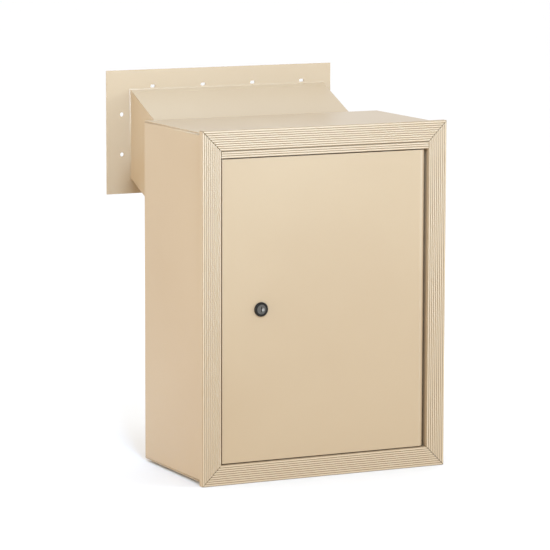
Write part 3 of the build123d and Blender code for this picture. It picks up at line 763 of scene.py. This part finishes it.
def header_corners(sizes, height, depth):
    """The header strip's section: a ribbed channel, open at the back."""
    front, wall = sizes.rib_height, sizes.header_wall
    behind, inner = front + wall, height - wall
    places = [(0.0, front), (height, front), (height, depth), (inner, depth), (inner, behind)]
    places += [(wall, behind), (wall, depth), (0.0, depth)]
    return [(x, y, sizes.small_round) for x, y in places]


def rivet_outward(middle):
    """The way out of the box at a rivet of the frame: towards the nearest rail."""
    centre = (frame_low + frame_high) / 2
    half = (frame_high - frame_low) / 2
    sideways = (middle.x - centre.x) / half.x
    upward = (middle.z - centre.z) / half.z
    if abs(sideways) > abs(upward):
        return Vector((math.copysign(1.0, sideways), 0.0, 0.0))
    return Vector((0.0, 0.0, math.copysign(1.0, upward)))


def screw_bores(work, low_z, high_z):
    """Adds the header screws' bores, between two heights, to a bmesh."""
    bore = bpy.context.scene.mailbox_sheet.fastener_bore
    for low, high in solids_of("header_screws"):
        middle = (low + high) / 2
        solid_rod(work, (middle.x, middle.y, low_z), (middle.x, middle.y, high_z), bore, sides=24)


def rail_cutters(side):
    """What is cut from one rail: rivet holes, and the room for the header, the roll or the screws."""
    sizes, sheet = bpy.context.scene.mailbox_frame, bpy.context.scene.mailbox_sheet
    work = bmesh.new()
    deep = frame_high.y + sizes.rail_leg
    opening = frame_high.x - sizes.rail_face
    outward = Vector({"top": (0, 0, 1), "bottom": (0, 0, -1), "left": (-1, 0, 0), "right": (1, 0, 0)}[side])
    leg = outward * sizes.rail_leg
    for low, high in solids_of("frame_rivets"):
        middle = (low + high) / 2
        if rivet_outward(middle) == outward:
            clip = middle - leg
            solid_rod(work, clip - leg, clip + leg, sheet.fastener_bore, sides=24)
    behind = frame_low.y + sizes.rib_height + sizes.rail_wall
    if side == "bottom":
        jamb = frame_low.z + sizes.rail_face
        roll_end = hinge_at.x - (opening - sheet.door_gap - hinge_at.x) - 2 * sheet.door_gap
        over = sizes.hinge_lip + sizes.rail_leg
        solid_box(work, (roll_end, behind, jamb), (opening + over, deep, jamb + over))
        solid_rod(work, (hinge_at.x, hinge_at.y, jamb + sizes.rail_leg),
                  (hinge_at.x, hinge_at.y, frame_low.z), sheet.pin_bore)
    elif side == "top":
        screw_bores(work, header_high.z - sizes.header_wall, header_high.z + 3 * sizes.rail_leg)
    else:
        inner = outward.x * (opening - sizes.hinge_lip - sizes.rail_leg)
        low_z, high_z = header_low.z - sheet.door_gap, header_high.z + sizes.mitre_gap
        low_x, high_x = sorted((inner, outward.x * opening))
        solid_box(work, (low_x, behind, low_z), (high_x, deep, high_z))
    return new_object(side + "_cutters", mesh_of(work, side + "_cutters"))


def ribbed_bar(node, corners, ribs, cutters, values):
    """One ribbed bar, drawn, mitred and cut by its geometry nodes."""
    sizes = bpy.context.scene.mailbox_frame
    name = node + "_finished"
    piece = new_object(name, section_mesh(name, corners, ribs))
    grown(piece, tree_named("Ribbed bar", ribbed_bar_tree), {
        "Rib Count": ribs, "Rib Pitch": sizes.rib_pitch, "Rib Height": sizes.rib_height,
        "Rib Top": sizes.rib_top, "Rib Root": sizes.rib_root, "Cutters": cutters,
        "Finish": finish_named("sandstone_coat"), **values})
    bpy.data.objects.remove(cutters)
    smoothed(piece)
    return hand_over(piece, body_of_node[node], "sandstone_coat", node)


class MailboxOperator(bpy.types.Operator):
    """What every operator here shares."""
    bl_options = {"REGISTER", "UNDO"}


class MAILBOX_OT_frame_rails(MailboxOperator):
    """Make the four mitred, ribbed rails of the front frame"""
    bl_idname = "mailbox.frame_rails"
    bl_label = "Frame rails"

    def execute(self, context):
        sizes = context.scene.mailbox_frame
        middle = (frame_low + frame_high) / 2
        width, height = frame_high.x - frame_low.x, frame_high.z - frame_low.z
        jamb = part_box("left_rail")[1].y - frame_low.y
        hinge_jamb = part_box("right_rail")[1].y - frame_low.y
        rails = {
            "top": (width, jamb, 0.0, (middle.x, frame_low.y, frame_high.z), 0.0),
            "bottom": (width, jamb, sizes.stop_lip, (middle.x, frame_low.y, frame_low.z), math.pi),
            "left": (height, jamb, sizes.stop_lip, (frame_low.x, frame_low.y, middle.z), -math.pi / 2),
            "right": (height, hinge_jamb, sizes.hinge_lip, (frame_high.x, frame_low.y, middle.z),
                      math.pi / 2),
        }
        for side, (long, depth, lip, place, turn) in rails.items():
            corners = rail_corners(sizes, depth, lip)
            ribbed_bar(side + "_rail", corners, sizes.rib_count, rail_cutters(side), {
                "Length": long, "Face Width": sizes.rail_face, "Mitre": 1.0,
                "End Gap": sizes.mitre_gap / math.sqrt(2), "Place": place, "Turn": (0.0, turn, 0.0)})
        return {"FINISHED"}


class MAILBOX_OT_header_strip(MailboxOperator):
    """Make the ribbed strip across the top of the door's opening"""
    bl_idname = "mailbox.header_strip"
    bl_label = "Header strip"

    def execute(self, context):
        sizes, sheet = context.scene.mailbox_frame, context.scene.mailbox_sheet
        work = bmesh.new()
        solid_rod(work, (hinge_at.x, hinge_at.y, header_low.z - sizes.header_wall),
                  (hinge_at.x, hinge_at.y, header_low.z + 2 * sizes.header_wall), sheet.pin_bore)
        screw_bores(work, header_high.z - 2 * sizes.header_wall, header_high.z + sizes.header_wall)
        cutters = new_object("header_cutters", mesh_of(work, "header_cutters"))
        tall = header_high.z - header_low.z
        corners = header_corners(sizes, tall, header_high.y - header_low.y)
        ribbed_bar("header_strip", corners, sizes.header_ribs, cutters, {
            "Length": header_high.x - header_low.x, "Face Width": tall, "Mitre": 0.0, "End Gap": 0.0,
            "Place": (0.0, header_low.y, header_high.z), "Turn": (0.0, 0.0, 0.0)})
        return {"FINISHED"}


# ---- sheet pieces ----

class MAILBOX_OT_box_panels(MailboxOperator):
    """Finish the folded sides and the top, bottom and back sheets of the box"""
    bl_idname = "mailbox.box_panels"
    bl_label = "Box panels"

    def execute(self, context):
        edge = context.scene.mailbox_sheet.sheet_edge
        for side in ("left_side", "right_side", "top", "bottom", "back"):
            softened(side + "_panel", "sandstone_coat", edge, SHORT * edge)
        return {"FINISHED"}


class MAILBOX_OT_chute(MailboxOperator):
    """Finish the chute's four walls and the wall flange"""
    bl_idname = "mailbox.chute"
    bl_label = "Chute and wall flange"

    def execute(self, context):
        edge = context.scene.mailbox_sheet.sheet_edge
        for side in ("top", "bottom", "left", "right"):
            softened(f"chute_{side}_panel", "sandstone_coat", edge, SHORT * edge)
        softened("wall_flange", "sandstone_coat", edge, SHORT * edge, segments=3)
        return {"FINISHED"}


class MAILBOX_OT_door(MailboxOperator):
    """Finish the door, its stiffener and the pads it closes on"""
    bl_idname = "mailbox.door"
    bl_label = "Door"

    def execute(self, context):
        sheet = context.scene.mailbox_sheet
        edge = sheet.sheet_edge
        softened("door_panel", "sandstone_coat", 1.6 * edge, SHORT * edge, segments=3)
        softened("door_stiffener", "sandstone_coat", edge)
        softened("door_bumpers", "rubber", sheet.rubber_edge / 2, segments=3)
        return {"FINISHED"}


class MAILBOX_OT_corner_keys(MailboxOperator):
    """Finish the keys inside the frame's corners"""
    bl_idname = "mailbox.corner_keys"
    bl_label = "Corner keys"

    def execute(self, context):
        softened("corner_keys", "mill_aluminium", context.scene.mailbox_sheet.sheet_edge)
        return {"FINISHED"}


class MAILBOX_OT_hinge(MailboxOperator):
    """Finish the pivot pins and the bushes they turn in"""
    bl_idname = "mailbox.hinge"
    bl_label = "Hinge"

    def execute(self, context):
        edge = context.scene.mailbox_sheet.turned_edge
        for end in ("upper", "lower"):
            softened(end + "_pivot_pin", "plated_steel", edge)
        softened("hinge_bushes", "nylon", edge)
        return {"FINISHED"}


class MAILBOX_OT_lock(MailboxOperator):
    """Finish the lock's housing, plug, nut, cam, washer and screw"""
    bl_idname = "mailbox.lock"
    bl_label = "Lock"

    def execute(self, context):
        edge = context.scene.mailbox_sheet.turned_edge
        for node in ("lock_housing", "lock_plug"):
            softened(node, "lock_metal", edge)
        for node in ("lock_nut", "lock_cam", "cam_washer", "cam_screw"):
            softened(node, "plated_steel", edge)
        return {"FINISHED"}


# ---- fasteners ----

def rivet_profile(sizes, grip):
    """A set blind rivet: dimpled dome above, shank through the sheets, bulged tail below."""
    head, dimple = sizes.rivet_head, sizes.mandrel_radius
    rim = 0.18 * MM
    deep, chamfer, lip = 0.35 * head, 0.55 * head, 0.86 * head
    dome = arc((0.0, rim), (sizes.head_radius, head - rim), 70.0, 0.0, 7)
    profile = [(0.0, deep), (0.8 * dimple, deep), (dimple, chamfer), (dimple, lip)]
    profile += dome + [(sizes.head_radius, 0.0), (sizes.shank_radius, 0.0), (sizes.shank_radius, -grip)]
    bulge = 0.5 * sizes.tail_length
    tail = arc((sizes.tail_radius - bulge, -grip - bulge), (bulge, bulge), 90.0, -90.0, 6)
    return profile + tail + [(0.0, -grip - sizes.tail_length)]


def screw_mesh(name, sizes, long):
    """A pan-head screw with a cross recess. Its head stands on z = 0 and its shank points down."""
    head, radius = sizes.screw_head, sizes.head_radius
    pitch, groove, chamfer, plain = 0.7 * MM, 0.25 * MM, 0.3 * MM, 0.5 * MM
    rim, crown = 0.3 * head, 0.7 * head
    dome = arc((0.0, rim), (radius, crown), 90.0, 0.0, 8)
    tip = [(sizes.shank_radius, chamfer - long), (sizes.shank_radius - chamfer, -long), (0.0, -long)]
    thread = []
    for turn in range(int((long - 2 * plain) / pitch)):
        top = -plain - turn * pitch
        thread += [(sizes.shank_radius, top), (sizes.shank_radius - groove, top - 0.5 * pitch)]
    profile = [(0.0, head)] + dome[1:] + [(radius, 0.0), (sizes.shank_radius, 0.0)] + thread + tip
    blank = new_object(name, lathe(name, profile))
    work = bmesh.new()
    arm, slot, bottom = 0.52 * radius, 0.15 * radius, 0.35 * head
    solid_box(work, (-arm, -slot, bottom), (arm, slot, 2 * head))
    cutter = new_object(name + "_recess", mesh_of(work, name + "_recess"))
    for turn in (0.0, math.pi / 2):
        cutter.data.transform(Matrix.Rotation(turn, 4, "Z"))
        modified(blank, "BOOLEAN", operation="DIFFERENCE", solver="EXACT", object=cutter)
    bpy.data.objects.remove(cutter)
    return blank


def set_fasteners(node, fastener, places, slot, seed):
    """One piece with a fastener on each place, given as a point and its outward direction."""
    name = node + "_finished"
    mesh = bpy.data.meshes.new(name)
    mesh.from_pydata([place for place, _ in places], [], [])
    outward = mesh.attributes.new("outward", "FLOAT_VECTOR", "POINT")
    outward.data.foreach_set("vector", [value for _, direction in places for value in direction])
    piece = new_object(name, mesh)
    grown(piece, tree_named("Set in places", set_in_places_tree), {
        "Fastener": fastener, "Seed": seed, "Finish": finish_named(slot)})
    bpy.data.objects.remove(fastener)
    smoothed(piece, sharp_degrees=35.0)
    return hand_over(piece, body_of_node[node], slot, node)


class MAILBOX_OT_rivets(MailboxOperator):
    """Set the blind rivets of the frame and of the chute's tabs"""
    bl_idname = "mailbox.rivets"
    bl_label = "Rivets"

    def execute(self, context):
        sizes = context.scene.mailbox_fasteners
        for node, seed in (("frame_rivets", 11), ("chute_rivets", 23)):
            places = []
            for low, high in solids_of(node):
                middle = (low + high) / 2
                head_way = Vector((0.0, 1.0, 0.0)) if node == "chute_rivets" else -rivet_outward(middle)
                total = abs((high - low).dot(head_way))
                places.append((middle + head_way * (total / 2 - sizes.rivet_head), head_way))
            grip = total - sizes.rivet_head - sizes.tail_length
            rivet = new_object(node + "_one", lathe(node + "_one", rivet_profile(sizes, grip), sides=28))
            set_fasteners(node, rivet, places, "mill_aluminium", seed)
        return {"FINISHED"}


class MAILBOX_OT_header_screws(MailboxOperator):
    """Set the screws that hold the header strip"""
    bl_idname = "mailbox.header_screws"
    bl_label = "Header screws"

    def execute(self, context):
        sizes = context.scene.mailbox_fasteners
        down = Vector((0.0, 0.0, -1.0))
        places = []
        for low, high in solids_of("header_screws"):
            middle = (low + high) / 2
            places.append((Vector((middle.x, middle.y, low.z + sizes.screw_head)), down))
        screw = screw_mesh("header_screw_one", sizes, high.z - low.z - sizes.screw_head)
        set_fasteners("header_screws", screw, places, "plated_steel", seed=5)
        return {"FINISHED"}


# ---- studio ----

def area_light(name, at, aim, side, watts, tint, spread):
    """A soft square light that looks at a point, its spread in degrees."""
    lamp = bpy.data.lights.new(name, "AREA")
    lamp.spread = math.radians(spread)
    lamp.size = side
    lamp.energy = watts
    lamp.color = tint
    made = new_object(name, lamp)
    made.location = at
    made.rotation_euler = (aim - at).to_track_quat("-Z", "Y").to_euler()


class MAILBOX_OT_studio(MailboxOperator):
    """Set up the camera, the lights and the floor"""
    bl_idname = "mailbox.studio"
    bl_label = "Studio"

    def execute(self, context):
        studio = context.scene.mailbox_studio
        turn, dip, roll = studio.camera_turn, studio.camera_dip, studio.camera_roll
        ahead = Vector((math.sin(turn) * math.cos(dip), math.cos(turn) * math.cos(dip), -math.sin(dip)))
        right = Vector((math.cos(turn), -math.sin(turn), 0.0))
        up = right.cross(ahead)
        rolled_right = right * math.cos(roll) + up * math.sin(roll)
        rolled_up = up * math.cos(roll) - right * math.sin(roll)
        camera = new_object("camera", bpy.data.cameras.new("camera"))
        camera.data.lens = studio.lens
        camera.data.sensor_width = 36.0
        camera.data.clip_end = 200.0
        axes = Matrix((rolled_right, rolled_up, -ahead)).transposed().to_4x4()
        camera.matrix_world = Matrix.Translation(Vector(studio.camera_at)) @ axes
        context.scene.camera = camera

        work = bmesh.new()
        bmesh.ops.create_grid(work, x_segments=1, y_segments=1, size=studio.floor_side / 2,
                              matrix=Matrix.Translation((0.0, 0.0, cad_low.z)))
        floor = new_object("floor", mesh_of(work, "floor"))
        floor.data.materials.append(finish_named("pale_floor"))

        world = bpy.data.worlds.new("soft sky")
        world.use_nodes = True
        background = world.node_tree.nodes["Background"]
        background.inputs["Color"].default_value = (1.0, 1.0, 1.0, 1.0)
        background.inputs["Strength"].default_value = studio.sky_strength
        context.scene.world = world

        middle = (cad_low + cad_high) / 2
        below, flange = middle - Vector((0.0, 0.0, 0.15)), Vector((-0.1, 0.0, 0.1))
        # each light's place from the object's middle, its aim, side, tint and spread
        lights = {
            "front": ((-0.6, -3.4, 1.3), middle, 1.8, (0.50, 0.775, 1.0), 180.0),
            "upper": ((-0.5, -1.7, 1.5), flange, 0.5, (0.42, 0.64, 1.0), 40.0),
            "left": ((-2.2, -0.8, -0.1), below, 0.8, (1.0, 0.92, 0.76), 180.0),
            "right": ((2.4, -1.5, 0.4), middle, 1.2, (0.80, 0.90, 1.0), 180.0),
        }
        for name, (away, aim, side, tint, spread) in lights.items():
            watts = getattr(studio, name + "_power")
            area_light(name + " light", middle + Vector(away), aim, side, watts, tint, spread)
        context.scene.view_settings.view_transform = "Standard"
        return {"FINISHED"}


# ---- the add-on ----

OPERATORS = [
    MAILBOX_OT_studio,
    MAILBOX_OT_frame_rails,
    MAILBOX_OT_header_strip,
    MAILBOX_OT_corner_keys,
    MAILBOX_OT_box_panels,
    MAILBOX_OT_chute,
    MAILBOX_OT_door,
    MAILBOX_OT_hinge,
    MAILBOX_OT_lock,
    MAILBOX_OT_rivets,
    MAILBOX_OT_header_screws,
]


class MAILBOX_PT_pieces(bpy.types.Panel):
    """Lists the mailbox's pieces, sizes and colours"""
    bl_idname = "MAILBOX_PT_pieces"
    bl_label = "Mailbox"
    bl_space_type = "VIEW_3D"
    bl_region_type = "UI"
    bl_category = "Mailbox"

    def draw(self, context):
        for operator in OPERATORS:
            self.layout.operator(operator.bl_idname)
        for setting, group in SETTINGS.items():
            box = self.layout.box()
            box.label(text=group.__doc__)
            for name in group.__annotations__:
                box.prop(getattr(context.scene, setting), name)


def register():
    for group in SETTINGS.values():
        bpy.utils.register_class(group)
    for setting, group in SETTINGS.items():
        setattr(bpy.types.Scene, setting, bpy.props.PointerProperty(type=group))
    for operator in OPERATORS:
        bpy.utils.register_class(operator)
    bpy.utils.register_class(MAILBOX_PT_pieces)


def unregister():
    bpy.utils.unregister_class(MAILBOX_PT_pieces)
    for operator in reversed(OPERATORS):
        bpy.utils.unregister_class(operator)
    for setting, group in SETTINGS.items():
        delattr(bpy.types.Scene, setting)
        bpy.utils.unregister_class(group)


def main():
    """Makes every piece in order."""
    register()
    for operator in OPERATORS:
        category, name = operator.bl_idname.split(".")
        getattr(getattr(bpy.ops, category), name)()


if __name__ == "__main__":
    main()
